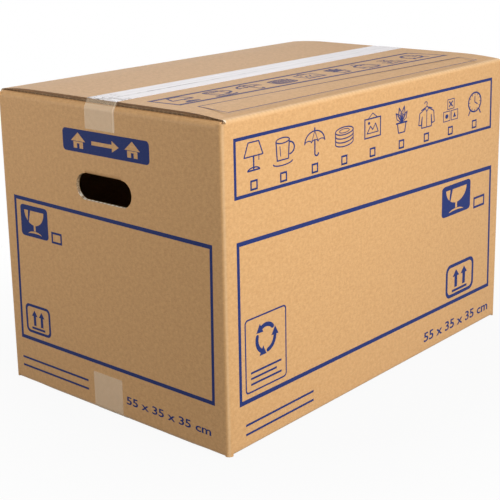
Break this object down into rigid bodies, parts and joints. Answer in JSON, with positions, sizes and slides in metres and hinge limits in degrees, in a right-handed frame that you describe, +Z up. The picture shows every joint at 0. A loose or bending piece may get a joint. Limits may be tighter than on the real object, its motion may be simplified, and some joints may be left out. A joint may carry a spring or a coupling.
{
  "type": "moving box",
  "caption": "Closed corrugated cardboard moving box with hand holes, folded flaps and packing tape along the seams.",
  "frame": {"origin": "on the floor, under the middle of the box", "axes": "+X along the length, +Y across the width, +Z up; a hand hole in each X end"},
  "size_m": [0.5596, 0.359, 0.3694],
  "materials": {
    "kraft_board": "matte",
    "packing_tape": "gloss"
  },
  "bodies": {
    "root": {"carton": "kraft_board", "top_tape": "packing_tape", "bottom_tape": "packing_tape"}
  },
  "joints": []
}
